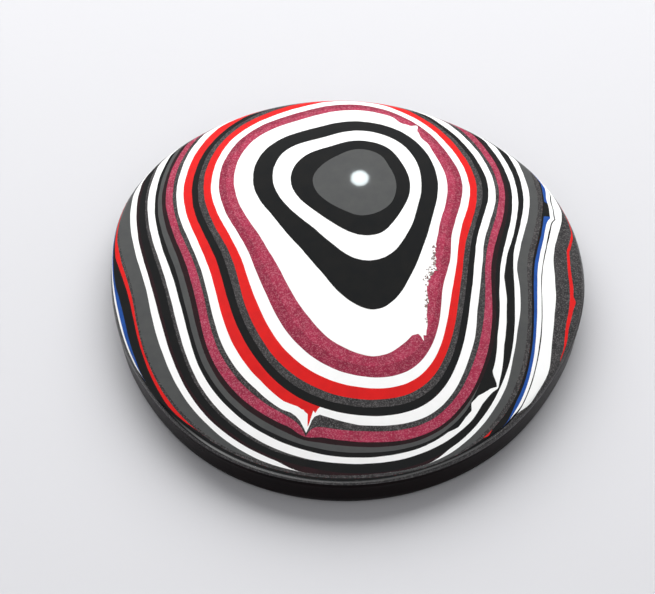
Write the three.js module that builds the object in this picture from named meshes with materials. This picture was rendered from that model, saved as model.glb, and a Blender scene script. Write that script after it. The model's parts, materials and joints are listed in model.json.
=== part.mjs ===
// A round cabochon, about forty millimetres across, cut from a block of baked enamel coats.
// Every coat is its own solid: a thin arched sheet that runs under the whole stone and comes out
// on the polished dome as one ring of colour, or on the side wall where the rim cuts it off.
// Millimetres, +Z up, origin at the centre of the flat back.

import * as THREE from "three";

// The stone's outside. Its widest line is the rim; the side wall below leans in to the flat back.
const RADIUS = 20.25; // of the round rim
const GIRDLE_HEIGHT = 3.35; // from the flat back to where the dome would meet the rim
const DOME_RISE = 3.4; // from there to the top of the dome
const SHOULDER_WIDTH = 0.45; // how far in from the rim the dome's edge is eased
const SHOULDER_DROP = 0.35; // how far down the wall it is eased
const UNDERCUT = 0.4; // how far the wall leans in on its way down to the bevel
const BEVEL_HEIGHT = 0.45; // of the bevel round the flat back
const BEVEL_WIDTH = 0.35; // of the same bevel, inwards
// How far the hand-ground rim stands out of round, every 30 degrees from +X.
const OUT_OF_ROUND = [-0.3, -0.1, -0.35, 0.25, 0.65, 0.85, -0.4, -0.45, 0.2, 0.3, -0.05, -0.6];

// The coats' shape.
const CROWN_CENTRE = [0.9, 9.27]; // the middle of the smallest ring, on the plan
const COAT_SLOPE = 0.15; // how steeply the coats run into the dome
const COAT_ROUNDING = 4; // radius over which that slope fades out under the crown
const CROWN_BLEND = 3; // radius inside which each coat takes its mean depth
const LEAST_WIDTH = 0.1; // of any ring on the dome, also where its coat fades out
const FADE_ANGLE = 6; // degrees on either side of a fading direction over which a ring narrows
const DIP_DIRECTION = 268; // degrees from +X; the coats next to the back come out lowest here
const DIP_SPREAD = 35; // degrees on either side of it over which they come back up

// The mesh.
const FRONT_STEP = 6; // degrees between directions on the front half, where the rings are drawn out
const REAR_STEP = 10; // degrees between directions on the rear half
const SHEET_RING = 0.55; // where a sheet's inner ring lies, as a share of its edge radius
const SAME_POINT = 0.002; // points of one coat closer than this are one vertex
const HALVINGS = 40; // when closing in on an edge

// Baked enamel: colour, roughness and metalness.
const PAINTS = {
  grey: [0x636363, 0.16, 0],
  black: [0x17191a, 0.14, 0],
  white: [0xf4f3ef, 0.16, 0],
  raspberry: [0x9c3350, 0.24, 0.25],
  red: [0xd81a1c, 0.16, 0],
  charcoal: [0x3a3838, 0.28, 0.35],
  maroon: [0x3d161b, 0.18, 0],
  blue: [0x2350a0, 0.18, 0],
};

// Directions round the crown's centre, in degrees from +X, at which the ring edges below are given.
const DIRECTIONS = [0, 30, 60, 90, 120, 150, 180, 210, 225, 240, 255, 270, 285, 300, 315, 330];

// Directions at which a coat fades out, each from one angle to another by way of the angles between.
const RIGHT = [266, 450]; // the right side, round to the rear
const FAR_RIGHT = [296, 450];
const FRONT = [231, 291];
const LEFT_AND_FRONT = [110, 291];
const LEFT_TO_RIGHT_FRONT = [110, 310];

// Bands from the crown outwards. "edge" is the outer edge's radius at each of DIRECTIONS; a value
// past the rim says how deep the edge comes out on the side wall. "coats" share the band's width.
const BANDS = [
  {
    edge: [3.2, 3.1, 3.6, 3.7, 3.3, 3.4, 3.8, 3.9, 3.9, 4, 4.2, 4.6, 4.6, 4.4, 4.1, 3.7],
    coats: [["grey_crown", "grey", 1]],
  },
  {
    edge: [4.4, 4.3, 4.8, 4.9, 4.7, 5.4, 5.7, 5.5, 5.4, 5.6, 6.1, 6.8, 6.9, 6, 5.3, 4.9],
    coats: [["black_round_crown", "black", 1]],
  },
  {
    edge: [5.4, 5.6, 6.1, 6.3, 6.1, 7.2, 7.2, 6.8, 6.8, 7.1, 8.1, 9.5, 9.4, 7.9, 6.7, 5.9],
    coats: [["white_inner", "white", 1]],
  },
  {
    edge: [6.8, 6.9, 7.4, 7.7, 7.7, 8.8, 8.9, 8.4, 8.7, 9.5, 11.3, 14.2, 13.3, 10.2, 8.4, 7.4],
    coats: [["black_tongue", "black", 1]],
  },
  {
    edge: [7.6, 7.5, 8.7, 9.4, 9.4, 10.5, 10.5, 10.3, 10.9, 12.5, 15.8, 18.7, 17.5, 12.3, 9.4, 8.2],
    coats: [["white_tongue", "white", 1]],
  },
  {
    edge: [8.9, 8.6, 9.3, 10.3, 10.5, 11.6, 11.8, 11.7, 12.6, 15, 18.7, 20.8, 20.1, 13.9, 10.9, 9.4],
    coats: [
      ["raspberry_first_pass", "raspberry", 0.55],
      ["raspberry_second_pass", "raspberry", 0.45],
    ],
  },
  {
    edge: [10.1, 9.8, 10.4, 11.6, 11.9, 12.9, 13.1, 13.1, 14.3, 17.6, 21.2, 22.8, 22, 16.2, 12.4, 10.8],
    coats: [["white_under_raspberry", "white", 0.5], ["red_main", "red", 0.5]],
  },
  {
    edge: [11.1, 10.6, 11, 12.4, 12.8, 13.7, 14.1, 14.3, 15.8, 19.2, 22.7, 24.2, 23.5, 17.9, 13.6, 11.6],
    coats: [["charcoal_main", "charcoal", 0.48], ["black_under_charcoal", "black", 0.52]],
  },
  {
    edge: [11.7, 11.2, 11.6, 13, 13.6, 15, 15.4, 15.7, 17.5, 21.4, 24.2, 25, 24.5, 19.1, 14.5, 12.3],
    coats: [["red_left", "red", 0.54, RIGHT], ["white_with_drip", "white", 0.46]],
  },
  {
    edge: [12.5, 12.1, 12.5, 13.8, 14.4, 15.7, 16.3, 16.7, 18.8, 22.9, 25.5, 26.4, 25.8, 21, 15.5, 13.3],
    coats: [["charcoal_thin", "charcoal", 0.33], ["raspberry_outer", "raspberry", 0.67]],
  },
  {
    edge: [13.1, 12.6, 13.1, 14.4, 15.1, 16.4, 17.2, 18.1, 20.3, 24.3, 26.9, 27.7, 26.6, 22, 16.5, 14.1],
    coats: [
      ["maroon_dark", "maroon", 0.34],
      ["grey_thin", "grey", 0.38, FAR_RIGHT],
      ["black_thin", "black", 0.28],
    ],
  },
  {
    edge: [13.6, 13.1, 13.6, 14.9, 15.6, 16.9, 17.8, 18.7, 21.1, 25, 27.6, 28.2, 27.1, 23.1, 17.4, 14.6],
    coats: [["white_outer", "white", 1]],
  },
  {
    edge: [14.1, 13.7, 14.3, 15.6, 16.3, 17.6, 18.7, 20, 22.5, 26.2, 28.5, 29, 27.8, 23.6, 18.3, 15],
    coats: [
      ["charcoal_fringe", "charcoal", 0.2, RIGHT],
      ["black_outer", "black", 0.6],
      ["maroon_fringe", "maroon", 0.2, RIGHT],
    ],
  },
  {
    edge: [14.6, 14.2, 14.8, 16, 16.7, 18, 19.2, 20.5, 23.2, 26.7, 28.9, 29.1, 28.1, 24.1, 19, 15.5],
    coats: [["white_line", "white", 1]],
  },
  {
    edge: [15.3, 14.9, 15.5, 16.7, 17.5, 18.9, 20.3, 21.6, 24.6, 27.5, 29.1, 29.2, 28.4, 24.9, 19.8, 16.3],
    coats: [["grey_outer", "grey", 1]],
  },
  {
    edge: [16.1, 15.8, 16.4, 17.6, 18.5, 20, 21.9, 23.3, 26.1, 29, 29.8, 29.8, 29.1, 26, 20.8, 17.3],
    coats: [
      ["charcoal_outer", "charcoal", 0.08],
      ["red_fine", "red", 0.3, RIGHT],
      ["black_rim", "black", 0.36],
      ["blue_line", "blue", 0.26, FRONT],
    ],
  },
  {
    edge: [16.6, 16.3, 17, 18.2, 19.2, 20.8, 22.6, 24, 26.8, 29.5, 30.2, 30.2, 29.6, 26.3, 21.5, 17.8],
    coats: [["white_rim_first", "white", 0.8, FRONT], ["black_hairline", "black", 0.2]],
  },
  {
    edge: [18.3, 18.2, 19, 20.2, 21.2, 22.8, 24.6, 26, 28.6, 30.6, 31, 31, 30.8, 28.6, 24.2, 20.8],
    coats: [
      ["white_rim_second", "white", 0.4, LEFT_AND_FRONT],
      ["charcoal_rim", "charcoal", 0.45],
      ["red_rim", "red", 0.15, LEFT_TO_RIGHT_FRONT],
    ],
  },
  {
    edge: [19.7, 19.6, 20.4, 21.4, 22.4, 24, 25.8, 27.2, 29.6, 31.3, 31.5, 31.5, 31.5, 30, 26, 22.6],
    coats: [["charcoal_last", "charcoal", 1]],
  },
];

// Coats below the bands, down to the flat back: each one's lower face as a share of the height left
// under the bands, at the sides and rear, and then at the front.
const BASE_COATS = [
  ["maroon_base", "maroon", 0.3, 0.1],
  ["grey_hairline", "grey", 0.27, 0.075],
  ["black_base", "black", 0.17, 0.05],
  ["maroon_hairline", "maroon", 0.14, 0.03],
  ["black_back", "black", 0, 0],
];

const radians = THREE.MathUtils.degToRad;
const { lerp, smoothstep } = THREE.MathUtils;

// A smooth closed curve of value against direction, through the given values.
function aroundCurve(directions, values) {
  const count = values.length;
  const angleAt = (i) => directions[((i % count) + count) % count] + 360 * Math.floor(i / count);
  const valueAt = (i) => values[((i % count) + count) % count];
  const slopeAt = (i) => (valueAt(i + 1) - valueAt(i - 1)) / (angleAt(i + 1) - angleAt(i - 1));
  return (degrees) => {
    const angle = ((degrees % 360) + 360) % 360;
    let i = count - 1;
    while (i > 0 && directions[i] > angle) i -= 1;
    const span = angleAt(i + 1) - angleAt(i);
    const t = (angle - angleAt(i)) / span;
    const rise = t * t * (3 - 2 * t);
    const leave = t * (1 - t) * (1 - t) * span * slopeAt(i);
    const arrive = t * t * (t - 1) * span * slopeAt(i + 1);
    return valueAt(i) * (1 - rise) + valueAt(i + 1) * rise + leave + arrive;
  };
}

// Where a falling function reaches zero between two values, by halving.
function fallsToZero(valueAt, low, high) {
  for (let n = 0; n < HALVINGS; n += 1) {
    const middle = (low + high) / 2;
    if (valueAt(middle) > 0) low = middle;
    else high = middle;
  }
  return (low + high) / 2;
}

// How far a direction lies from another, in degrees either way.
const angleBetween = (a, b) => Math.abs(THREE.MathUtils.euclideanModulo(a - b + 180, 360) - 180);

const roundDirections = OUT_OF_ROUND.map((_, i) => (i * 360) / OUT_OF_ROUND.length);
const outOfRound = aroundCurve(roundDirections, OUT_OF_ROUND);

// The plan point at a radius from the crown's centre, measured from the stone's own centre.
function planPoint(radius, degrees) {
  const x = CROWN_CENTRE[0] + radius * Math.cos(radians(degrees));
  const y = CROWN_CENTRE[1] + radius * Math.sin(radians(degrees));
  return [x, y];
}

// Distance from the crown's centre to the rim in a direction.
function rimRadius(degrees) {
  const spare = (radius) => {
    const [x, y] = planPoint(radius, degrees);
    return RADIUS + outOfRound(THREE.MathUtils.radToDeg(Math.atan2(y, x))) - Math.hypot(x, y);
  };
  return fallsToZero(spare, 0, 3 * RADIUS);
}

const sphereRadius = (RADIUS ** 2 + DOME_RISE ** 2) / (2 * DOME_RISE);

// Height of the polished dome at a radius from the crown's centre.
function domeHeight(radius, degrees) {
  const [x, y] = planPoint(radius, degrees);
  return Math.sqrt(sphereRadius ** 2 - x * x - y * y) - sphereRadius + GIRDLE_HEIGHT + DOME_RISE;
}

// How far the coats stand above the dome's own shape at a radius from the crown's centre.
const coatRise = (radius) => COAT_SLOPE * (Math.hypot(radius, COAT_ROUNDING) - COAT_ROUNDING);

// 1 where a coat is at its full width and 0 where it has faded out, with soft ends between.
function widthFactor(degrees, window) {
  if (!window) return 1;
  const off = angleBetween(degrees, (window[0] + window[1]) / 2);
  const half = (window[1] - window[0]) / 2;
  return smoothstep(off, half - FADE_ANGLE, half + FADE_ANGLE);
}

// Outer edge radius of every coat in the bands, at one direction.
function edgeRadii(degrees, edgeCurves) {
  const radii = [];
  let inner = 0;
  BANDS.forEach((band, b) => {
    const widths = band.coats.map(([, , share, window]) => share * widthFactor(degrees, window));
    const sum = widths.reduce((a, w) => a + w, 0);
    const least = LEAST_WIDTH * widths.length;
    const spare = Math.max(edgeCurves[b](degrees) - inner - least, 0);
    widths.forEach((width) => {
      inner += LEAST_WIDTH + (spare * width) / sum;
      radii.push(inner);
    });
  });
  return radii;
}

const directions = [];
for (let a = 0; a < 180; a += REAR_STEP) directions.push(a);
for (let a = 180; a < 360; a += FRONT_STEP) directions.push(a);

const edgeCurves = BANDS.map((band) => aroundCurve(DIRECTIONS, band.edge));
const edges = directions.map((degrees) => edgeRadii(degrees, edgeCurves));
const bandCoats = BANDS.flatMap((band) => band.coats);
const lastBandCoat = bandCoats.length - 1;
const meanDepth = bandCoats.map(
  (_, i) => edges.reduce((sum, radii) => sum + coatRise(radii[i]), 0) / edges.length,
);

// The corners of the stone's outside in each direction, as radius and height: where the dome ends,
// the rim, the top of the bevel and the edge of the flat back.
const corners = directions.map((degrees) => {
  const rim = rimRadius(degrees);
  return [
    [rim - SHOULDER_WIDTH, domeHeight(rim - SHOULDER_WIDTH, degrees)],
    [rim, domeHeight(rim, degrees) - SHOULDER_DROP],
    [rim - UNDERCUT, BEVEL_HEIGHT],
    [rim - UNDERCUT - BEVEL_WIDTH, 0],
  ];
});

// A point of the outside is named by its path: the radius as far as the dome goes, then one more
// for each corner passed.
const cornerPath = (c, k) => corners[k][0][0] + c;
const pathEnd = (k) => cornerPath(corners[k].length - 1, k);

function outsidePoint(path, k) {
  const past = path - cornerPath(0, k);
  if (past <= 0) return [path, domeHeight(path, directions[k])];
  const c = Math.min(Math.floor(past), corners[k].length - 2);
  const [from, to] = [corners[k][c], corners[k][c + 1]];
  return [lerp(from[0], to[0], past - c), lerp(from[1], to[1], past - c)];
}

// Height of the lower face of coat i at a radius, in direction number k. Coat -1 is the dome itself.
function faceHeight(i, radius, k) {
  const dome = domeHeight(radius, directions[k]);
  if (i < 0) return dome;
  if (i > lastBandCoat) {
    const [, , sides, front] = BASE_COATS[i - lastBandCoat - 1];
    const dip = 1 - smoothstep(angleBetween(directions[k], DIP_DIRECTION), 0, DIP_SPREAD);
    const reach = smoothstep(radius, 0, corners[k][0][0]);
    return faceHeight(lastBandCoat, radius, k) * lerp(sides, front, dip * reach);
  }
  const blend = smoothstep(radius, 0, CROWN_BLEND);
  const depth = lerp(meanDepth[i], coatRise(edges[k][i]), blend);
  return dome + coatRise(radius) - depth;
}

// The path at which the lower face of coat i comes out in direction k.
function faceEdge(i, k) {
  if (i < 0) return 0;
  const above = (path) => {
    const [radius, z] = outsidePoint(path, k);
    return z - faceHeight(i, radius, k);
  };
  return fallsToZero(above, 0, pathEnd(k));
}

// The points of coat i's section in direction k, from its top at the crown's centre to its bottom.
function section(i, k) {
  const upper = faceEdge(i - 1, k);
  const lower = faceEdge(i, k);
  const upperEdge = outsidePoint(upper, k);
  const lowerEdge = outsidePoint(lower, k);
  const innerTop = (i > 0 ? upperEdge : lowerEdge)[0] * SHEET_RING;
  const innerBottom = lowerEdge[0] * SHEET_RING;
  const passed = corners[k].map((_, c) =>
    outsidePoint(THREE.MathUtils.clamp(cornerPath(c, k), upper, lower), k));
  return [
    [innerTop, faceHeight(i - 1, innerTop, k)],
    ...(i > 0 ? [upperEdge] : []),
    ...passed,
    lowerEdge,
    [innerBottom, faceHeight(i, innerBottom, k)],
  ];
}

// A closed solid through one coat's sections, all round the crown's centre.
function coatGeometry(i) {
  const vertices = [];
  const known = new Map();
  const vertex = (x, y, z) => {
    const key = [x, y, z].map((value) => Math.round(value / SAME_POINT)).join();
    if (!known.has(key)) known.set(key, vertices.push([x, y, z]) - 1);
    return known.get(key);
  };
  const top = vertex(0, 0, faceHeight(i - 1, 0, 0));
  const bottom = vertex(0, 0, faceHeight(i, 0, 0));
  const columns = directions.map((degrees, k) => [
    top,
    ...section(i, k).map(([radius, z]) =>
      vertex(radius * Math.cos(radians(degrees)), radius * Math.sin(radians(degrees)), z)),
    bottom,
  ]);
  const faces = [];
  const face = (a, b, c) => {
    if (a !== b && b !== c && c !== a) faces.push(a, b, c);
  };
  const underside = columns[0].length - 3;
  columns.forEach((column, k) => {
    const next = columns[(k + 1) % columns.length];
    for (let j = 0; j + 1 < column.length; j += 1) {
      // Each four-sided patch is split from its inner corner here to its outer corner there, above
      // and below, so that a coat's underside has the same creases as the top of the coat below it.
      if (j < underside) {
        face(column[j], column[j + 1], next[j + 1]);
        face(column[j], next[j + 1], next[j]);
      } else {
        face(column[j], column[j + 1], next[j]);
        face(column[j + 1], next[j + 1], next[j]);
      }
    }
  });
  const geometry = new THREE.BufferGeometry();
  geometry.setAttribute("position", new THREE.Float32BufferAttribute(vertices.flat(), 3));
  geometry.setIndex(faces);
  return geometry;
}

const stone = new THREE.Group();
const coats = new THREE.Group();
coats.position.set(...CROWN_CENTRE, 0);
stone.add(coats);

[...bandCoats, ...BASE_COATS].forEach(([name, paint], i) => {
  const [color, roughness, metalness] = PAINTS[paint];
  const material = new THREE.MeshStandardMaterial({ color, roughness, metalness });
  const mesh = new THREE.Mesh(coatGeometry(i), material);
  mesh.name = `coat_${String(i + 1).padStart(2, "0")}_${name}`;
  coats.add(mesh);
});

export default stone;
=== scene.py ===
import json
import math

import bpy
import numpy as np
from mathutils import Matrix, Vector


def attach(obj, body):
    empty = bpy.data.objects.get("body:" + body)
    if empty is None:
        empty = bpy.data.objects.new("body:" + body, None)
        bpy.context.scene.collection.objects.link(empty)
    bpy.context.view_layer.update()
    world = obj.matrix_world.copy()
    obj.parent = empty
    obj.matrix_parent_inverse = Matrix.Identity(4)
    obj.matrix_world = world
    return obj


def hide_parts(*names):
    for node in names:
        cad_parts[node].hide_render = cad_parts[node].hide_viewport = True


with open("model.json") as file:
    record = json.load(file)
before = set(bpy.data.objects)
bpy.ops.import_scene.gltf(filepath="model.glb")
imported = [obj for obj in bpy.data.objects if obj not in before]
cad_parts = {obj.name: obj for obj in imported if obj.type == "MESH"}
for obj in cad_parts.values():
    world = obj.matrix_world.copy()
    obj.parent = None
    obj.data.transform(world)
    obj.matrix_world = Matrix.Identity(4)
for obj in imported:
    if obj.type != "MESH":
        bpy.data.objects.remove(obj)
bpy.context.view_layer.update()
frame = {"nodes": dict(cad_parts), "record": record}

MM = 0.001

# The camera, as a direction and distance from the point it looks at. Lengths are in millimetres.
CAMERA_AIM = (-1.65, 0.07, 1.32)
CAMERA_ELEVATION = 52.0
CAMERA_DISTANCE = 306.4
CAMERA_LENS = 200.0
CAMERA_CLIP_START = 0.01  # metres

# The cut stone: what the coats' solids alone don't say. Lengths are in millimetres.
COAT_SLOPE = 0.15  # how steeply the coats run into the dome
COAT_ROUNDING = 4.0  # radius over which that slope fades out under the crown
CROWN_BLEND = 3.0  # radius inside which each coat takes its mean depth
SHOULDER_REACH = 0.6  # how far in from the rim the polished shoulder starts to turn down
SHOULDER_DROP = 0.7  # how far down the wall it ends
SHOULDER_FULLNESS = 0.06  # how far outside the rim its corner would lie
SHEET_RINGS = (0.3, 0.6, 0.85)  # a hidden sheet's rings, as shares of its edge radius
STRIP_STEP = 0.5  # the longest face along a coat's outside
STRIP_FACES = (3, 14)  # fewest and most faces along it
THINNEST = 0.001  # of a coat that has run out
TOP_POLISH = 0.002  # keeps the finer dome inside the coats' own height
FIT_COATS = 10  # the dome is fitted to the edges of this many coats
BEVEL_INWARD = 0.25  # where the bevel's curve bends: this share of its width in,
BEVEL_LEFT = 0.2  # and with this share of its height left

# How closely points of the frame's meshes are told apart, in millimetres and degrees.
PLAN_DIGITS = 3
DIRECTION_DIGITS = 1
MIDDLE_RADIUS = 0.5  # points nearer the crown's centre have no direction of their own
BACK_MIDDLE_RADIUS = 1.0  # the same, on the flat back
SAME_DIRECTION = 0.3
SAME_POINT = 0.004
ON_BACK = 0.001
BELOW_RIM = 0.01

# How finely the outside is sampled.
NORMAL_STEP = 0.02  # path length on either side of a point, for its normal
TURN_BEFORE_RIM = 3.0  # how far inside the rim the path starts to follow the rim's own turns,
TURN_OVER = 2.0  # and over what length it gets there
DOME_SAMPLES = 60
WALL_SAMPLES = 900
LEAST_STRIP = 2e-4  # path length between two coats' edges


# ---------------------------------------------------------------- the coats' edges, from the frame

names = sorted(frame["nodes"])
short = [name.split("_", 2)[2] for name in names]


def read_points(name):
    mesh = frame["nodes"][name].data
    co = np.zeros(len(mesh.vertices) * 3)
    mesh.vertices.foreach_get("co", co)
    return co.reshape(-1, 3) / MM


points_of = {name: read_points(name) for name in names}


def shared_plan_point():
    """The crown's centre: the only plan point at which every coat has a vertex."""
    shared = None
    for name in names:
        plan = {tuple(p) for p in np.round(points_of[name][:, :2], PLAN_DIGITS)}
        shared = plan if shared is None else shared & plan
    return np.array(sorted(shared)[0])


CENTRE = shared_plan_point()


def polar(points):
    """Direction in degrees, radius and height of points, about the crown's centre."""
    d = points[:, :2] - CENTRE
    return np.degrees(np.arctan2(d[:, 1], d[:, 0])) % 360, np.hypot(d[:, 0], d[:, 1]), points[:, 2]


polar_of = {name: polar(points_of[name]) for name in names}
back_angles, back_radii, _ = polar_of[names[-1]]
known = np.unique(np.round(back_angles[back_radii > BACK_MIDDLE_RADIUS], DIRECTION_DIGITS) % 360)


def in_direction(name, degrees):
    """Radius and height of a coat's points in one of the frame's directions."""
    a, r, z = polar_of[name]
    near = (np.abs((a - degrees + 180) % 360 - 180) < SAME_DIRECTION) & (r > MIDDLE_RADIUS)
    return np.stack([r[near], z[near]], 1)


def shared_edge(name, below, degrees):
    """Where the face between two coats comes out: the outermost point that they share."""
    a = in_direction(name, degrees)
    b = in_direction(below, degrees)
    same = np.abs(a[:, None] - b[None]).max(2).min(1) < SAME_POINT
    return a[same][a[same][:, 0].argmax()]


edge_points = np.array([[shared_edge(a, b, t) for t in known] for a, b in zip(names, names[1:])])


def outside_corners(degrees):
    """The rim's radius, the top of the bevel and the radius of the flat back."""
    pts = np.concatenate([in_direction(name, degrees) for name in names])
    rim = pts[pts[:, 0].argmax()]
    back = pts[pts[:, 1] < ON_BACK]
    back = back[back[:, 0].argmax()]
    # the bevel's top stands furthest out from a straight line between the rim and the back
    line = (back - rim) / np.linalg.norm(back - rim)
    low = pts[(pts[:, 1] < rim[1] - BELOW_RIM) & (pts[:, 1] > ON_BACK) & (pts[:, 0] > back[0])]
    out = (low[:, 1] - rim[1]) * line[0] - (low[:, 0] - rim[0]) * line[1]
    bevel = low[out.argmax()]
    return rim[0], bevel[0], bevel[1], back[0]


rim_known, bevel_known, bevel_z_known, back_known = np.array([outside_corners(t) for t in known]).T


def fit_sphere(points):
    """Height of the centre, and radius, of the sphere about the Z axis through the points."""
    r2 = (points**2).sum(1)
    (c, q), *_ = np.linalg.lstsq(np.stack([2 * points[:, 2], np.ones(len(points))], 1), r2, rcond=None)
    return float(c), float(math.sqrt(q + c * c))


def plan(radius, degrees):
    """Plan point at a radius and direction from the crown's centre."""
    angle = np.radians(degrees)
    return CENTRE[0] + radius * np.cos(angle), CENTRE[1] + radius * np.sin(angle)


def dome_points():
    r, z = edge_points[:FIT_COATS, :, 0], edge_points[:FIT_COATS, :, 1]
    on_dome = r < rim_known - SHOULDER_REACH
    x, y = plan(r, known)
    return np.stack([x[on_dome], y[on_dome], z[on_dome]], 1)


SPHERE_Z, SPHERE_R = fit_sphere(dome_points())


def dome(x, y):
    return SPHERE_Z - TOP_POLISH + np.sqrt(SPHERE_R**2 - x * x - y * y)


def rise(radius):
    """How far the coats stand above the dome's own shape at a radius from the crown's centre."""
    return COAT_SLOPE * (np.hypot(radius, COAT_ROUNDING) - COAT_ROUNDING)


def radius_at_rise(height):
    return np.sqrt(np.maximum((height / COAT_SLOPE + COAT_ROUNDING) ** 2 - COAT_ROUNDING**2, 0))


# Every edge as the radius at which it would come out if the dome ran on past the rim.
edge_x, edge_y = plan(edge_points[:, :, 0], known)
edge_depth = dome(edge_x, edge_y) + rise(edge_points[:, :, 0]) - edge_points[:, :, 1]
edge_known = radius_at_rise(edge_depth)


# ---------------------------------------------------------------- directions

# Spans of directions, in degrees, and the step within each: closer together at the fine details.
SPANS = (
    (0.0, 40.0, 0.5),
    (40.0, 66.0, 0.25),
    (66.0, 240.0, 0.5),
    (240.0, 258.0, 0.25),
    (258.0, 263.0, 0.06),
    (263.0, 284.0, 0.25),
    (284.0, 316.0, 0.11),
    (316.0, 360.0, 0.25),
)
EVENING = 5.0  # degrees on either side over which an edge's course is evened out
AVERAGED = 9  # directions averaged there, and where a corner is rounded
theta = np.concatenate([np.arange(a, b - 1e-6, step) for a, b, step in SPANS])
N = len(theta)
K = np.arange(N)
cosines = np.cos(np.radians(theta))
sines = np.sin(np.radians(theta))


def around(values, degrees):
    """A smooth closed curve through the values at the known directions."""
    x = np.concatenate([known - 360, known, known + 360])
    y = np.tile(values, 3)
    m = (np.roll(y, -1) - np.roll(y, 1)) / (np.roll(x, -1) - np.roll(x, 1))
    i = np.clip(np.searchsorted(x, degrees, side="right") - 1, 1, len(x) - 3)
    h = x[i + 1] - x[i]
    t = (degrees - x[i]) / h
    return (
        y[i] * (1 + 2 * t) * (1 - t) ** 2
        + h * m[i] * t * (1 - t) ** 2
        + y[i + 1] * t * t * (3 - 2 * t)
        + h * m[i + 1] * t * t * (t - 1)
    )


rim = around(rim_known, theta)
bevel = around(bevel_known, theta)
bevel_z = around(bevel_z_known, theta)
back = around(back_known, theta)
nearby_directions = np.linspace(-EVENING, EVENING, AVERAGED)
edge = {
    name: np.mean([around(values, (theta + d) % 360) for d in nearby_directions], axis=0)
    for name, values in zip(short, edge_known)
}


# ---------------------------------------------------------------- the paint's own irregularities

def smooth(value, start, stop):
    """0 before start and 1 after stop, with soft ends."""
    t = np.clip((value - start) / (stop - start), 0, 1)
    return t * t * (3 - 2 * t)


def off(centre):
    """Degrees from a direction, either way round."""
    return (theta - centre + 180) % 360 - 180


def swell(centre, half_width):
    """A soft bump of height 1."""
    t = np.clip(np.abs(off(centre)) / half_width, 0, 1)
    return (1 + np.cos(math.pi * t)) / 2


def cusp(centre, left, right):
    """A pointed bump of height 1 that falls off over different angles to its left and right."""
    d = off(centre)
    return np.exp(-np.abs(d) / np.where(d < 0, left, right))


def window(start, stop, softness):
    """1 between two directions and 0 elsewhere, going round by increasing angle."""
    middle, half = (start + stop) / 2, (stop - start) / 2
    return 1 - smooth(np.abs(off(middle)), half - softness, half + softness)


# Coats that run out somewhere: from, to, softness, and which neighbour takes the room.
INNER, OUTER = -1, 1
FADES = {
    "red_left": (262.2, 450, 0.15, OUTER),
    "grey_thin": (293, 450, 3, OUTER),
    "charcoal_fringe": (260, 450, 6, OUTER),
    "maroon_fringe": (267, 450, 5, INNER),
    "white_line": (258.5, 283.5, 2.5, INNER),
    "grey_outer": (252, 276, 4, OUTER),
    "red_fine": (238.5, 450, 4.0, OUTER),
    "blue_line": (226, 298, 3, INNER),
    "white_rim_first": (226, 299, 2, OUTER),
    "white_rim_second": (100, 301, 2, OUTER),
    "red_rim": (100, 313.5, 0.5, INNER),
}
BLUE_GAP = (350.6, 356.6, 0.3)  # the blue runs out again here
RED_SPOT = (292.6, 1.2)  # one dot of the fine red is left: direction and half width
RED_SPOT_THICKNESS = 0.15


def run_out():
    """Thins each coat to almost nothing where it has run out."""
    before = {b: a for a, b in zip(short, short[1:])}
    for name, (start, stop, softness, taker) in FADES.items():
        inner = edge[before[name]]
        gone = window(start, stop, softness)
        if name == "blue_line":
            gone = np.maximum(gone, window(*BLUE_GAP))
        width = np.maximum((edge[name] - inner) * (1 - gone), THINNEST)
        if name == "red_fine":
            width = np.maximum(width, RED_SPOT_THICKNESS * swell(*RED_SPOT))
        if taker == OUTER:
            edge[name] = inner + width
        else:
            edge[before[name]] = edge[name] - width


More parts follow.
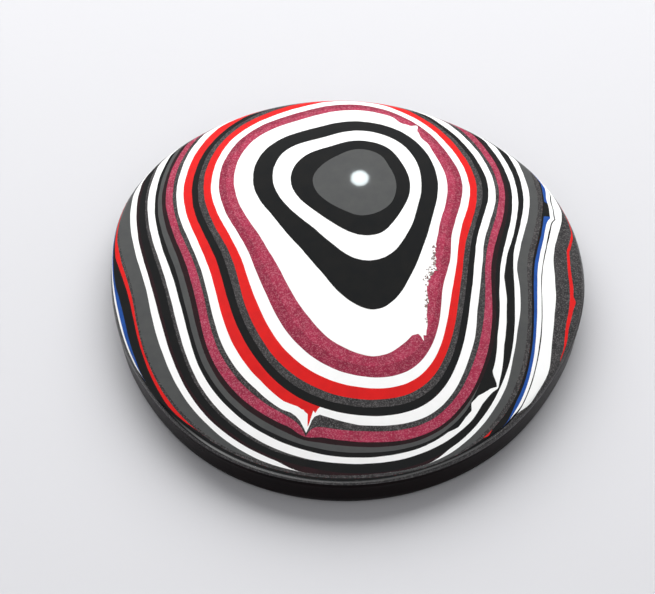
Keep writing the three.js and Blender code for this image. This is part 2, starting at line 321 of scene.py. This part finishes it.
# Stretches where an edge leaves its smooth course: how far on either side it comes back, how much
# its corners are rounded, both in degrees, and the directions and radii that it passes through.
# The radii were measured in the photo, with a scratch script. The frame doesn't hold them.
COURSES = (
    # the drip that runs down through the front coats, and the red tongue inside it
    ("white_with_drip", 6.0, 0.05, (
        (255.0, 24.3), (257.0, 24.45), (258.0, 24.65), (259.0, 25.0), (259.5, 25.3), (260.0, 25.6),
        (260.5, 25.95), (260.9, 25.35), (261.2, 24.8), (261.6, 24.5), (262.5, 24.3), (264.0, 24.45))),
    ("red_left", 6.0, 0.04, (
        (255.0, 23.6), (258.0, 23.85), (259.5, 24.15), (260.2, 24.4), (260.4, 25.0), (260.6, 25.45),
        (260.8, 25.0), (260.95, 24.5), (261.15, 24.0), (261.6, 24.15), (262.0, 23.8))),
    # rings beside the tongues
    ("black_tongue", 6.0, 1.5, (
        (258.0, 11.9), (262.0, 12.75), (266.0, 13.5), (270.0, 14.2), (274.0, 14.6), (278.0, 14.5),
        (282.0, 13.9), (286.0, 13.1), (290.0, 12.1), (294.0, 11.3))),
    ("raspberry_second_pass", 4.0, 1.0, (
        (298.0, 14.65), (300.0, 13.95), (305.0, 12.78), (310.0, 11.9), (320.0, 10.2), (330.0, 9.45))),
    ("white_under_raspberry", 4.0, 1.0, (
        (298.0, 15.95), (300.0, 15.25), (305.0, 13.78), (310.0, 12.65), (320.0, 10.98), (330.0, 10.12))),
    ("red_main", 4.0, 1.0, (
        (298.0, 17.05), (300.0, 16.25), (305.0, 14.65), (310.0, 13.42), (320.0, 11.68), (330.0, 10.8))),
    ("charcoal_main", 4.0, 1.0, (
        (300.0, 17.0), (305.0, 15.4), (310.0, 14.05), (320.0, 12.2), (330.0, 11.22))),
    ("black_under_charcoal", 4.0, 1.0, (
        (300.0, 17.87), (305.0, 16.08), (310.0, 14.78), (320.0, 12.75), (330.0, 11.65))),
    ("white_with_drip", 4.0, 1.0, (
        (300.0, 19.15), (305.0, 17.07), (310.0, 15.65), (320.0, 13.55), (330.0, 12.32))),
    # the crumbling edge of the long white tongue
    ("white_tongue", 6.0, 1.0, (
        (262.0, 17.5), (266.0, 18.15), (270.0, 18.7), (274.0, 18.98), (278.0, 18.75), (281.0, 18.2))),
    ("white_tongue", 1.5, 0.12, (
        (284.5, 17.45), (286.3, 17.4), (286.8, 17.7), (287.1, 18.25), (287.5, 17.6), (288.2, 17.7),
        (289.0, 17.2), (290.0, 16.4), (291.0, 15.8), (292.0, 15.2), (293.0, 14.8), (294.0, 14.0),
        (294.5, 13.5), (297.0, 12.8), (300.0, 12.3), (302.0, 12.05), (304.0, 11.5), (306.0, 10.9),
        (308.0, 10.5), (310.0, 10.1), (314.0, 9.5))),
    # where the black swells and the white beside it bends
    ("black_thin", 2.0, 0.1, (
        (288.0, 26.05), (290.0, 25.4), (291.5, 25.0), (292.0, 24.4), (294.0, 23.95), (297.0, 23.7),
        (298.3, 23.75), (298.7, 23.4), (298.85, 22.8), (299.2, 22.4), (300.0, 22.1), (301.0, 21.7),
        (305.0, 19.9), (310.0, 18.15), (315.0, 16.55))),
    ("white_outer", 3.0, 0.4, (
        (294.0, 24.7), (296.0, 24.25), (297.0, 24.05), (298.5, 23.9), (299.2, 23.5), (300.0, 23.15),
        (305.0, 20.8), (310.0, 19.0), (315.0, 17.4), (320.0, 15.85), (325.0, 15.08), (330.0, 14.55))),
    ("black_outer", 3.0, 0.5, (
        (300.0, 23.6), (305.0, 21.5), (310.0, 19.7), (315.0, 18.3), (320.0, 16.75), (325.0, 15.62),
        (330.0, 15.0))),
    ("white_line", 3.0, 0.5, (
        (300.0, 24.05), (305.0, 22.1), (310.0, 20.35), (315.0, 18.95), (320.0, 17.55), (325.0, 16.15),
        (330.0, 15.5))),
    # the right-hand edge
    ("white_rim_second", 3.0, 1.0, (
        (305.0, 25.65), (310.0, 24.35), (315.0, 22.6), (320.0, 21.2), (325.0, 20.1), (330.0, 19.0),
        (335.0, 18.05), (340.0, 17.6), (350.0, 17.55))),
    ("charcoal_rim", 2.0, 0.5, (
        (315.0, 23.85), (320.0, 22.4), (325.0, 21.45), (327.4, 20.95), (330.0, 20.4), (335.0, 19.4),
        (340.0, 18.68), (345.0, 18.56), (348.0, 18.5))),
    ("red_rim", 2.0, 0.4, (
        (315.0, 24.1), (320.0, 22.72), (325.0, 21.8), (326.8, 21.6), (327.5, 21.5), (328.2, 21.1),
        (330.0, 20.75), (335.0, 19.68), (340.0, 18.92), (345.0, 18.8), (348.0, 18.76))),
)
def follow(name, run_in, rounding, points):
    """Leads an edge through the points, and back to its own course on either side of them."""
    at, radius = np.array(points).T
    shift = radius - np.interp(at, theta, edge[name])
    at = np.concatenate([[at[0] - run_in], at, [at[-1] + run_in]])
    shift = np.concatenate([[0], shift, [0]])
    nearby = np.linspace(-rounding, rounding, AVERAGED)
    edge[name] = edge[name] + np.mean([np.interp(theta + d, at, shift) for d in nearby], axis=0)


DRIP = 260.55  # direction of the drip
# Bumps and dents in an edge: size along the radius, direction of the middle, half width.
SWELLS = (
    # the coats that give way round the drip
    ("raspberry_outer", 0.32, 260.3, 3.5),
    ("maroon_dark", 0.12, 260.3, 4.0),
    # the white tongue's corner at the rear
    ("white_tongue", 0.5, 54.6, 3.4),
    ("white_tongue", -0.2, 45.0, 7.0),
    ("white_tongue", -0.28, 64.0, 7.0),
    # the blue stops at the right
    ("blue_line", -0.1, 358.0, 4.0),
    ("white_rim_first", -0.1, 358.0, 4.0),
)
# Pointed bumps: size, direction of the tip, and the angles over which they fall off on either side.
CUSPS = (
    ("charcoal_thin", 1.12, DRIP, 1.5, 0.8),
    # the blue widens before it stops
    ("blue_line", 0.3, 350.2, 1.3, 4.5),
    ("white_rim_first", 0.3, 350.2, 1.3, 4.5),
)
# Whole stretches that move: size, from, to, softness.
SHIFTS = (
    ("charcoal_outer", 0.28, 292.0, 385.0, 12.0),
    ("red_fine", -0.25, 200.0, 240.0, 14.0),
)
HAIRLINE = 0.1  # width of the black hairline between the two whites at the right
HAIRLINE_SPAN = (302.0, 380.0, 6.0)  # where it is so fine: from, to, softness


def paint_details():
    """Drips, steps and kinks in single coats."""
    for name, run_in, rounding, points in COURSES:
        follow(name, run_in, rounding, points)
    for name, size, *place in SWELLS:
        edge[name] = edge[name] + size * swell(*place)
    for name, size, *place in CUSPS:
        edge[name] = edge[name] + size * cusp(*place)
    for name, size, *place in SHIFTS:
        edge[name] = edge[name] + size * window(*place)
    fine_edge = edge["white_rim_first"] + HAIRLINE
    edge["black_hairline"] += (fine_edge - edge["black_hairline"]) * window(*HAIRLINE_SPAN)


UNEVENNESS_SEED = 7
WAVINESS = 0.45
WAVES = ((11, 0.03), (23, 0.022), (47, 0.014), (90, 0.008))  # cycles round the stone, and size
WAVE_GROWTH = (2.0, 12.0)  # radii between which the waves reach their full size
# Ragged stretches: from, to, mean step, size of the steps.
RAGGED = (
    ("white_tongue", 287.8, 313.0, 0.5, 0.15),
    ("white_tongue", 288.5, 313.0, 1.7, 0.06),
    ("red_left", 258.0, 264.0, 0.3, 0.08),
)
RAGGED_JITTER = 0.4  # how unevenly the steps are spaced, as a share of the mean step
RAGGED_ENDS = (2.0, 3.0)  # degrees over which the steps grow at the start and die away at the end


def ragged(rng, start, stop, step, size):
    """Uneven little steps between two directions."""
    knots = np.arange(start, stop, step)
    knots = knots + rng.uniform(-RAGGED_JITTER, RAGGED_JITTER, len(knots)) * step
    heights = rng.uniform(-size, size, len(knots))
    grow, die = RAGGED_ENDS
    fade = smooth(knots, start, start + grow) * (1 - smooth(knots, stop - die, stop))
    return np.interp(theta, knots, heights * fade, left=0, right=0)


def unevenness():
    """The slight waviness of every edge, and the ragged ones."""
    rng = np.random.default_rng(UNEVENNESS_SEED)
    for name in edge:
        wave = np.zeros(N)
        for cycles, size in WAVES:
            wave += WAVINESS * size * np.sin(cycles * np.radians(theta) + rng.uniform(0, 2 * math.pi))
        edge[name] = edge[name] + wave * smooth(edge[name], *WAVE_GROWTH)
    for name, *stretch in RAGGED:
        edge[name] = edge[name] + ragged(rng, *stretch)


paint_details()
unevenness()
run_out()

edges = np.array([edge[name] for name in short[:-1]])
steps = np.arange(len(edges))[:, None] * THINNEST
edges = np.maximum.accumulate(edges - steps, axis=0) + steps


# ---------------------------------------------------------------- the stone's outside

# How much the wall leans in for each millimetre down.
rim_z = dome(*plan(rim, theta))
lean = (rim - bevel) / (rim_z - bevel_z)


def bezier(a, b, c, t):
    return (1 - t) ** 2 * a + 2 * t * (1 - t) * b + t * t * c


def stretches(k):
    """Where each stretch of the path ends: dome, shoulder, wall, bevel."""
    dome_end = rim[k] - SHOULDER_REACH
    shoulder_end = dome_end + SHOULDER_REACH + SHOULDER_DROP
    wall_end = shoulder_end + rim_z[k] - SHOULDER_DROP - bevel_z[k]
    bevel_end = wall_end + bevel_z[k]
    return dome_end, shoulder_end, wall_end, bevel_end


def profile(p, k):
    """Radius and height of the outside at a path length from the crown's centre, in direction k."""
    dome_end, shoulder_end, wall_end, bevel_end = stretches(k)
    r_dome = np.minimum(p, dome_end)
    z_dome = dome(CENTRE[0] + r_dome * cosines[k], CENTRE[1] + r_dome * sines[k])
    r_wall_top = rim[k] - lean[k] * SHOULDER_DROP
    z_wall_top = rim_z[k] - SHOULDER_DROP
    t = np.clip((p - dome_end) / (shoulder_end - dome_end), 0, 1)
    r_shoulder = bezier(r_dome, rim[k] + SHOULDER_FULLNESS, r_wall_top, t)
    z_shoulder = bezier(z_dome, rim_z[k], z_wall_top, t)
    t = np.clip((p - shoulder_end) / (wall_end - shoulder_end), 0, 1)
    r_wall = r_wall_top + (bevel[k] - r_wall_top) * t
    z_wall = z_wall_top + (bevel_z[k] - z_wall_top) * t
    t = np.clip((p - wall_end) / (bevel_end - wall_end), 0, 1)
    r_bevel = bezier(bevel[k], bevel[k] - BEVEL_INWARD * (bevel[k] - back[k]), back[k], t)
    z_bevel = bezier(bevel_z[k], BEVEL_LEFT * bevel_z[k], 0.0, t)
    parts = [p <= dome_end, p <= shoulder_end, p <= wall_end]
    r = np.select(parts, [r_dome, r_shoulder, r_wall], r_bevel)
    z = np.select(parts, [z_dome, z_shoulder, z_wall], z_bevel)
    return r, z


def surface_points(p, k):
    r, z = profile(p, k)
    return np.stack([CENTRE[0] + r * cosines[k], CENTRE[1] + r * sines[k], z], -1)


def surface_normals(p, k):
    """Outward normals of the smooth outside, from differences along and across the path."""
    along = surface_points(p + NORMAL_STEP, k) - surface_points(np.maximum(p - NORMAL_STEP, 0), k)
    after = (k + 1) % N
    ahead = (k - 1) % N
    late = np.clip((p - (rim[k] - TURN_BEFORE_RIM)) / TURN_OVER, 0, 1)
    side_a = surface_points(p + (rim[after] - rim[k]) * late, after)
    side_b = surface_points(p + (rim[ahead] - rim[k]) * late, ahead)
    n = np.cross(along, side_a - side_b)
    length = np.linalg.norm(n, axis=-1, keepdims=True)
    return np.where(length > 1e-9, n / np.maximum(length, 1e-12), [0, 0, 1])


def path_ends():
    """The path length at which each coat's edge comes out, in every direction."""
    found = np.zeros_like(edges)
    for k in range(N):
        dome_end, _, _, bevel_end = stretches(k)
        on_dome = np.linspace(0, dome_end, DOME_SAMPLES)
        past_dome = np.linspace(dome_end, bevel_end, WALL_SAMPLES)
        p = np.concatenate([on_dome, past_dome[1:]])
        r, z = profile(p, np.full(len(p), k))
        depth = rise(r) + dome(CENTRE[0] + r * cosines[k], CENTRE[1] + r * sines[k]) - z
        outer = np.interp(rise(edges[:, k]), np.maximum.accumulate(depth), p)
        found[:, k] = np.where(edges[:, k] < dome_end, edges[:, k], outer)
    least = np.arange(len(edges))[:, None] * LEAST_STRIP
    return np.maximum.accumulate(found - least, axis=0) + least


edge_path = path_ends()
back_path = stretches(K)[3]


# ---------------------------------------------------------------- one coat's solid

def sheet(edge_ring, share=None):
    """A ring of the hidden face under or over a coat, arched as the coats are, or its middle."""
    r = np.hypot(edge_ring[:, 0] - CENTRE[0], edge_ring[:, 1] - CENTRE[1])
    own = dome(edge_ring[:, 0], edge_ring[:, 1]) + rise(r) - edge_ring[:, 2]
    if share is None:
        return np.array([[CENTRE[0], CENTRE[1], float(dome(*CENTRE) - own.mean())]])
    q = r * share
    x, y = CENTRE[0] + q * cosines, CENTRE[1] + q * sines
    blend = smooth(q, 0, CROWN_BLEND)
    return np.stack([x, y, dome(x, y) + rise(q) - (own * blend + own.mean() * (1 - blend))], 1)


LAST = len(names) - 1
OUTSIDE, ABOVE, BELOW = 0, 1, 2  # the three kinds of faces of a coat
AFTER = (K + 1) % N


def ring(j):
    """Vertex numbers of a coat's ring. Vertices 0 and 1 are the middles of its two hidden sheets."""
    return 2 + j * N + K


def outside_strip(i):
    """Rings of points and normals across the strip where a coat shows."""
    inner = edge_path[i - 1] if i else np.zeros(N)
    outer = back_path if i == LAST else edge_path[i]
    count = int(np.clip(math.ceil((outer - inner).max() / STRIP_STEP), *STRIP_FACES))
    # the first coat has no inner ring, because its strip is closed at the crown
    paths = [inner + (outer - inner) * s / count for s in range(0 if i else 1, count + 1)]
    return [surface_points(p, K) for p in paths], [surface_normals(p, K) for p in paths]


def upper_sheet(i, top_ring):
    """The middle point and rings of the face above a coat."""
    if i == 0:
        return np.array([[CENTRE[0], CENTRE[1], float(dome(*CENTRE))]]), []
    return sheet(top_ring), [sheet(top_ring, share) for share in SHEET_RINGS]


def lower_sheet(i, low_ring):
    """The middle point and rings of the face below a coat."""
    shares = SHEET_RINGS[::-1]
    if i < LAST:
        return sheet(low_ring), [sheet(low_ring, share) for share in shares]
    middle = np.array([[CENTRE[0], CENTRE[1], 0.0]])
    return middle, [(low_ring - middle) * share + middle for share in shares]


def coat_faces(above, strip, below):
    """Faces of a coat of so many rings above, across its strip and below, and each face's kind."""
    count = above + strip + below
    first = ring(0)
    faces = [(0, int(a), int(b)) for a, b in zip(first, first[AFTER])]
    kinds = [ABOVE if above else OUTSIDE]
    for j in range(count - 1):
        a, b = ring(j), ring(j + 1)
        faces += np.stack([a, b, b[AFTER], a[AFTER]], 1).tolist()
        if j < above:
            kinds.append(ABOVE)
        else:
            kinds.append(OUTSIDE if j < above + strip - 1 else BELOW)
    end = ring(count - 1)
    faces += [(1, int(b), int(a)) for a, b in zip(end, end[AFTER])]
    kinds.append(BELOW)
    return faces, np.repeat(kinds, N)


def set_normals(mesh, kinds, first_ring, normals):
    """Gives the outside the polished surface's own normals, so that it runs on from coat to coat."""
    polished = np.zeros((len(mesh.vertices), 3))
    polished[0] = np.array([CENTRE[0], CENTRE[1], dome(*CENTRE) - SPHERE_Z]) / SPHERE_R
    for j, n in enumerate(normals):
        polished[ring(first_ring + j)] = n
    corners = np.array([len(p.vertices) for p in mesh.polygons])
    loop_kind = np.repeat(kinds, corners)[:, None]
    loop_vertex = np.zeros(len(mesh.loops), int)
    mesh.loops.foreach_get("vertex_index", loop_vertex)
    up = np.array([0, 0, 1.0])
    hidden = np.where(loop_kind == ABOVE, up, -up)
    chosen = np.where(loop_kind == OUTSIDE, polished[loop_vertex], hidden)
    mesh.normals_split_custom_set(chosen.tolist())


def coat_mesh(name, i):
    """A closed solid: the sheet above, the strip that shows, and the sheet below."""
    strip, normals = outside_strip(i)
    top, above = upper_sheet(i, strip[0])
    bottom, below = lower_sheet(i, strip[-1])
    points = np.concatenate([top, bottom] + above + strip + below)
    faces, kinds = coat_faces(len(above), len(strip), len(below))
    mesh = bpy.data.meshes.new(name)
    mesh.from_pydata((points * MM).tolist(), [], faces)
    mesh.polygons.foreach_set("use_smooth", [True] * len(mesh.polygons))
    set_normals(mesh, kinds, len(above), normals)
    mesh.validate()
    mesh.update()
    return mesh


# ---------------------------------------------------------------- materials

PAINTS = {
    # main colour, second colour, roughness, flake strength, flake colour
    "grey": ((0.074, 0.076, 0.074), (0.065, 0.067, 0.067), 0.045, 0.0, (1, 1, 1)),
    "black": ((0.0032, 0.0040, 0.0044), (0.0060, 0.0060, 0.0056), 0.06, 0.0, (1, 1, 1)),
    "white": ((0.90, 0.90, 0.89), (0.87, 0.87, 0.855), 0.07, 0.0, (1, 1, 1)),
    "raspberry": ((0.36, 0.026, 0.068), (0.25, 0.018, 0.046), 0.09, 0.26, (0.85, 0.38, 0.46)),
    "red": ((0.66, 0.009, 0.008), (0.58, 0.008, 0.008), 0.07, 0.0, (1, 1, 1)),
    "charcoal": ((0.040, 0.038, 0.038), (0.021, 0.020, 0.0205), 0.09, 0.3, (0.30, 0.28, 0.28)),
    "maroon": ((0.020, 0.005, 0.007), (0.012, 0.004, 0.005), 0.08, 0.0, (1, 1, 1)),
    "blue": ((0.012, 0.075, 0.33), (0.010, 0.058, 0.26), 0.08, 0.0, (1, 1, 1)),
    # the second raspberry coat is a little deeper
    "raspberry_second": ((0.27, 0.017, 0.048), (0.19, 0.012, 0.034), 0.09, 0.24, (0.80, 0.34, 0.42)),
    "fleck": ((0.34, 0.25, 0.22), (0.13, 0.06, 0.06), 0.12, 0.0, (1, 1, 1)),
}
GLOSS = 0.3  # specular level of the polished dome
WALL_GLOSS = 0.05  # and of the side wall, which is only ground
# painted shade: the paint on the side wall is darkened, channel by channel, for the shade the wall lies
# in
WALL_PAINTED_SHADE = (0.2, 0.12, 0.14)  # how much of its red, green and blue the paint keeps on the wall
WALL_ROUGHNESS = 0.2  # how much rougher it is
WALL_PAINTS = ("maroon", "grey", "black")
WALL_COATS = 5  # the last coats, which come out on the side wall only
PAINT_IOR = 1.5
BODY_SCALE = 900.0  # of the slow change of colour in a coat
BODY_DETAIL = 6.0
BODY_BREAKUP = 0.62  # roughness of that noise
BODY_RANGE = (0.35, 0.65)  # the noise's values between which one colour changes to the other
FLAKE_SCALE = 13000.0  # of the flakes, one to about a thirteenth of a millimetre
FLAKE_SHARE = (0.55, 1.0)  # cells below the first value hold no flake, and at the second a full one
ROUGHNESS_SPREAD = 0.02  # how far the roughness strays to either side


def map_range(tree, value, from_range, to_range):
    """A value carried over from one range to another."""
    node = tree.nodes.new("ShaderNodeMapRange")
    node.inputs["From Min"].default_value, node.inputs["From Max"].default_value = from_range
    node.inputs["To Min"].default_value, node.inputs["To Max"].default_value = to_range
    tree.links.new(value, node.inputs["Value"])
    return node.outputs["Result"]


def colour_mix(tree, factor):
    """A mix of two colours by a factor, with both colours still to be set."""
    node = tree.nodes.new("ShaderNodeMix")
    node.data_type = "RGBA"
    tree.links.new(factor, node.inputs["Factor"])
    return node


def body_noise(tree, coordinates):
    """Slow noise that runs through a coat."""
    noise = tree.nodes.new("ShaderNodeTexNoise")
    noise.inputs["Scale"].default_value = BODY_SCALE
    noise.inputs["Detail"].default_value = BODY_DETAIL
    noise.inputs["Roughness"].default_value = BODY_BREAKUP
    tree.links.new(coordinates, noise.inputs["Vector"])
    return noise.outputs["Fac"]


def with_flakes(tree, coordinates, colour, strength, flake_colour):
    """The colour with metallic flakes, one in each of many small cells, some bright and some faint."""
    cells = tree.nodes.new("ShaderNodeTexVoronoi")
    cells.inputs["Scale"].default_value = FLAKE_SCALE
    tree.links.new(coordinates, cells.inputs["Vector"])
    cell = tree.nodes.new("ShaderNodeSeparateColor")
    tree.links.new(cells.outputs["Color"], cell.inputs["Color"])
    sparkle = colour_mix(tree, map_range(tree, cell.outputs["Red"], FLAKE_SHARE, (0.0, strength)))
    sparkle.inputs["B"].default_value = (*flake_colour, 1)
    tree.links.new(colour, sparkle.inputs["A"])
    return sparkle.outputs["Result"]


def paint_material(name, on_wall=False):
    main, second, rough, flake, flake_colour = PAINTS[name]
    # on the side wall the surface is rougher, and its colours are darkened as painted shade
    if on_wall:
        main, second = ([c * w for c, w in zip(colour, WALL_PAINTED_SHADE)] for colour in (main, second))
        rough += WALL_ROUGHNESS
    mat = bpy.data.materials.new(("ground_shaded_" if on_wall else "polished_") + name)
    mat.use_nodes = True
    tree = mat.node_tree
    bsdf = tree.nodes["Principled BSDF"]
    coordinates = tree.nodes.new("ShaderNodeTexCoord").outputs["Object"]
    noise = body_noise(tree, coordinates)
    body = colour_mix(tree, map_range(tree, noise, BODY_RANGE, (0.0, 1.0)))
    body.inputs["A"].default_value = (*main, 1)
    body.inputs["B"].default_value = (*second, 1)
    colour = body.outputs["Result"]
    if flake:
        colour = with_flakes(tree, coordinates, colour, flake, flake_colour)
    tree.links.new(colour, bsdf.inputs["Base Color"])
    spread = (rough - ROUGHNESS_SPREAD, rough + ROUGHNESS_SPREAD)
    tree.links.new(map_range(tree, noise, (0.0, 1.0), spread), bsdf.inputs["Roughness"])
    bsdf.inputs["IOR"].default_value = PAINT_IOR
    bsdf.inputs["Specular IOR Level"].default_value = WALL_GLOSS if on_wall else GLOSS
    return mat


materials = {name: paint_material(name) for name in PAINTS if name != "fleck"}
shaded_wall_materials = {name: paint_material(name, on_wall=True) for name in WALL_PAINTS}
slots = {s["node"]: s["material_slot"] for s in frame["record"]["subparts"]}

for i, name in enumerate(names):
    piece = bpy.data.objects.new("enamel_" + name, coat_mesh("enamel_" + name, i))
    # the last coats, on the side wall, take the copies darkened with painted shade
    choice = shaded_wall_materials if i >= len(names) - WALL_COATS else materials
    deeper = short[i] == "raspberry_second_pass"
    piece.data.materials.append(choice["raspberry_second" if deeper else slots[name]])
    bpy.context.scene.collection.objects.link(piece)
    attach(piece, "root")
    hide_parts(name)


# ---------------------------------------------------------------- flecks in the crumbling edge

# Places along the long white tongue's right edge, from and to in degrees, and how far inside it.
FLECK_RUNS = ((289.6, 294.2, 0.4), (295.0, 302.0, 0.75), (299.0, 305.0, 0.7), (302.0, 310.0, 0.4))
FLECKS_PER_RUN = 24
FLECK_SEED = 3
FLECK_RADIUS = (0.035, 0.15)  # least and greatest half length
FLECK_NARROWNESS = (0.35, 0.8)  # its half width, as a share of that
FLECK_RAGGEDNESS = (0.6, 1.25)  # how far each corner reaches, as a share of the plain oval's
FLECK_HEIGHT = 0.006  # above the polished surface
FLECK_DEPTH = 0.03
FLECK_CORNERS = 9


def fleck(rng, degrees, radius):
    """A thin brown fleck with a ragged outline, set flush in the dome."""
    k = int(np.abs(off(degrees)).argmin())
    middle = surface_points(np.array([radius]), np.array([k]))[0]
    turn = rng.uniform(0, math.pi)
    long_side = rng.uniform(*FLECK_RADIUS)
    short_side = long_side * rng.uniform(*FLECK_NARROWNESS)
    around_it = np.arange(FLECK_CORNERS) * 2 * math.pi / FLECK_CORNERS
    reach = rng.uniform(*FLECK_RAGGEDNESS, FLECK_CORNERS)
    u, v = long_side * reach * np.cos(around_it), short_side * reach * np.sin(around_it)
    x = middle[0] + u * math.cos(turn) - v * math.sin(turn)
    y = middle[1] + u * math.sin(turn) + v * math.cos(turn)
    rim_ring = np.stack([x, y, dome(x, y) + FLECK_HEIGHT / 2], 1)
    ends = middle + np.array([[0, 0, FLECK_HEIGHT], [0, 0, -FLECK_DEPTH]])
    return np.concatenate([ends, rim_ring])


def flecks_mesh():
    rng = np.random.default_rng(FLECK_SEED)
    tongue_edge = edges[short.index("white_tongue")]
    points, faces = [], []
    for start, stop, inside in FLECK_RUNS:
        for _ in range(FLECKS_PER_RUN):
            degrees = rng.uniform(start, stop)
            edge_here = float(np.interp(degrees, theta, tongue_edge))
            base = len(points) * (FLECK_CORNERS + 2)
            points.append(fleck(rng, degrees, edge_here - rng.uniform(0.0, inside)))
            for c in range(FLECK_CORNERS):
                a, b = base + 2 + c, base + 2 + (c + 1) % FLECK_CORNERS
                faces += [(base, a, b), (base + 1, b, a)]
    mesh = bpy.data.meshes.new("tongue_flecks")
    mesh.from_pydata((np.concatenate(points) * MM).tolist(), [], faces)
    mesh.polygons.foreach_set("use_smooth", [True] * len(mesh.polygons))
    return mesh


flecks = bpy.data.objects.new("tongue_flecks", flecks_mesh())
flecks.data.materials.append(paint_material("fleck"))
bpy.context.scene.collection.objects.link(flecks)
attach(flecks, "root")


# ---------------------------------------------------------------- floor, light, camera

scene = bpy.context.scene
scene.view_settings.view_transform = "Standard"

FLOOR_HALF = 3.0  # metres
FLOOR_COLOUR = (0.615, 0.615, 0.633, 1)
FLOOR_ROUGHNESS = 0.8
FLOOR_GLOSS = 0.1
WORLD_COLOUR = (1.0, 1.0, 1.02, 1)
WORLD_STRENGTH = 0.50


def make_floor():
    mesh = bpy.data.meshes.new("floor")
    ends = (-FLOOR_HALF, FLOOR_HALF)
    mesh.from_pydata([(x, y, 0) for y in ends for x in ends], [], [(0, 1, 3, 2)])
    floor = bpy.data.objects.new("floor", mesh)
    scene.collection.objects.link(floor)
    mat = bpy.data.materials.new("pale_card")
    mat.use_nodes = True
    bsdf = mat.node_tree.nodes["Principled BSDF"]
    bsdf.inputs["Base Color"].default_value = FLOOR_COLOUR
    bsdf.inputs["Roughness"].default_value = FLOOR_ROUGHNESS
    bsdf.inputs["Specular IOR Level"].default_value = FLOOR_GLOSS
    mesh.materials.append(mat)


def make_world():
    world = bpy.data.worlds.new("studio")
    scene.world = world
    world.use_nodes = True
    background = world.node_tree.nodes["Background"]
    background.inputs["Color"].default_value = WORLD_COLOUR
    background.inputs["Strength"].default_value = WORLD_STRENGTH


def aim(obj, target):
    obj.rotation_euler = (Vector(target) - obj.location).to_track_quat("-Z", "Y").to_euler()


def from_angles(elevation, azimuth, distance, origin=(0, 0, 0)):
    """A place at an elevation, azimuth 0 being behind the stone and growing to the right. Metres."""
    e, a = math.radians(elevation), math.radians(azimuth)
    step = (math.cos(e) * math.sin(a), math.cos(e) * math.cos(a), math.sin(e))
    return tuple(o + distance * s for o, s in zip(origin, step))


def area_light(name, place, size, power, target=(0, 0, 0), glossy=True, diffuse=True):
    """An oval lamp that faces its target. Its size is its width and height."""
    data = bpy.data.lights.new(name, "AREA")
    data.shape = "ELLIPSE"
    data.size, data.size_y = size
    data.energy = power
    light = bpy.data.objects.new(name, data)
    light.location = place
    light.visible_glossy = glossy
    light.visible_diffuse = diffuse
    scene.collection.objects.link(light)
    aim(light, target)
    return data


# The front card: a curved sheet of light, which the rounded shoulder shows as one pale line.
CARD_DISTANCE = 1.2  # metres
CARD_AZIMUTHS = (95.0, 265.0)
CARD_ELEVATIONS = (4.0, 56.0)
CARD_EDGES = (30.0, 24.0)  # degrees over which its light dies away sideways, and up and down
CARD_LIGHT = ((95.0, 3.7), (180.0, 3.4), (215.0, 6.4), (240.0, 8.7), (265.0, 8.7))  # azimuth, strength
CARD_POINTS = (52, 27)  # across and up


def make_front_card():
    across, up = CARD_POINTS
    azimuths = np.linspace(*CARD_AZIMUTHS, across)
    elevations = np.linspace(*CARD_ELEVATIONS, up)
    points = [from_angles(e, a, CARD_DISTANCE) for e in elevations for a in azimuths]
    row = len(azimuths)
    cells = [r * row + c for r in range(len(elevations) - 1) for c in range(row - 1)]
    mesh = bpy.data.meshes.new("front_card")
    mesh.from_pydata(points, [], [(i, i + 1, i + 1 + row, i + row) for i in cells])
    a, e = np.meshgrid(azimuths, elevations)
    sideways, upright = CARD_EDGES
    glow = smooth(a, a.min(), a.min() + sideways) * (1 - smooth(a, a.max() - sideways, a.max()))
    glow = glow * smooth(e, e.min(), e.min() + upright) * (1 - smooth(e, e.max() - upright, e.max()))
    glow = glow * np.interp(a, *np.array(CARD_LIGHT).T)
    mesh.attributes.new("glow", "FLOAT", "POINT").data.foreach_set("value", glow.ravel())
    mat = bpy.data.materials.new("front_card")
    mat.use_nodes = True
    nodes, links = mat.node_tree.nodes, mat.node_tree.links
    nodes.clear()
    strength = nodes.new("ShaderNodeAttribute")
    strength.attribute_name = "glow"
    emission = nodes.new("ShaderNodeEmission")
    output = nodes.new("ShaderNodeOutputMaterial")
    links.new(strength.outputs["Fac"], emission.inputs["Strength"])
    links.new(emission.outputs["Emission"], output.inputs["Surface"])
    mesh.materials.append(mat)
    card = bpy.data.objects.new("front_card", mesh)
    card.visible_camera = False
    card.visible_diffuse = False
    card.visible_shadow = False
    scene.collection.objects.link(card)


# Lamps: place and size in metres, and power in watts.
BOX_PLACE = (0.0, 0.22, 0.20)
BOX_SIZE = (0.5, 0.34)
BOX_POWER = 1.65
LAMP_FROM = (33.1, 2.2, 1.5)  # elevation, azimuth and distance, seen from the crown
LAMP_SIZE = (0.056, 0.1)
LAMP_POWER = 0.4
LAMP_COLOUR = (0.88, 0.98, 1.0)


def make_lamps():
    """A large soft box behind the stone, and the small lamp whose image lies on the crown."""
    area_light("back_soft_box", BOX_PLACE, BOX_SIZE, BOX_POWER, glossy=False)
    crown = (CENTRE[0] * MM, CENTRE[1] * MM, float(dome(*CENTRE)) * MM)
    place = from_angles(*LAMP_FROM, crown)
    lamp = area_light("crown_lamp", place, LAMP_SIZE, LAMP_POWER, crown, diffuse=False)
    lamp.color = LAMP_COLOUR


make_floor()
make_world()
make_front_card()
make_lamps()

camera_data = bpy.data.cameras.new("camera")
camera_data.lens = CAMERA_LENS
camera_data.clip_start = CAMERA_CLIP_START
camera = bpy.data.objects.new("camera", camera_data)
camera_target = [v * MM for v in CAMERA_AIM]
camera.location = from_angles(CAMERA_ELEVATION, 180.0, CAMERA_DISTANCE * MM, camera_target)
scene.collection.objects.link(camera)
aim(camera, camera_target)
scene.camera = camera
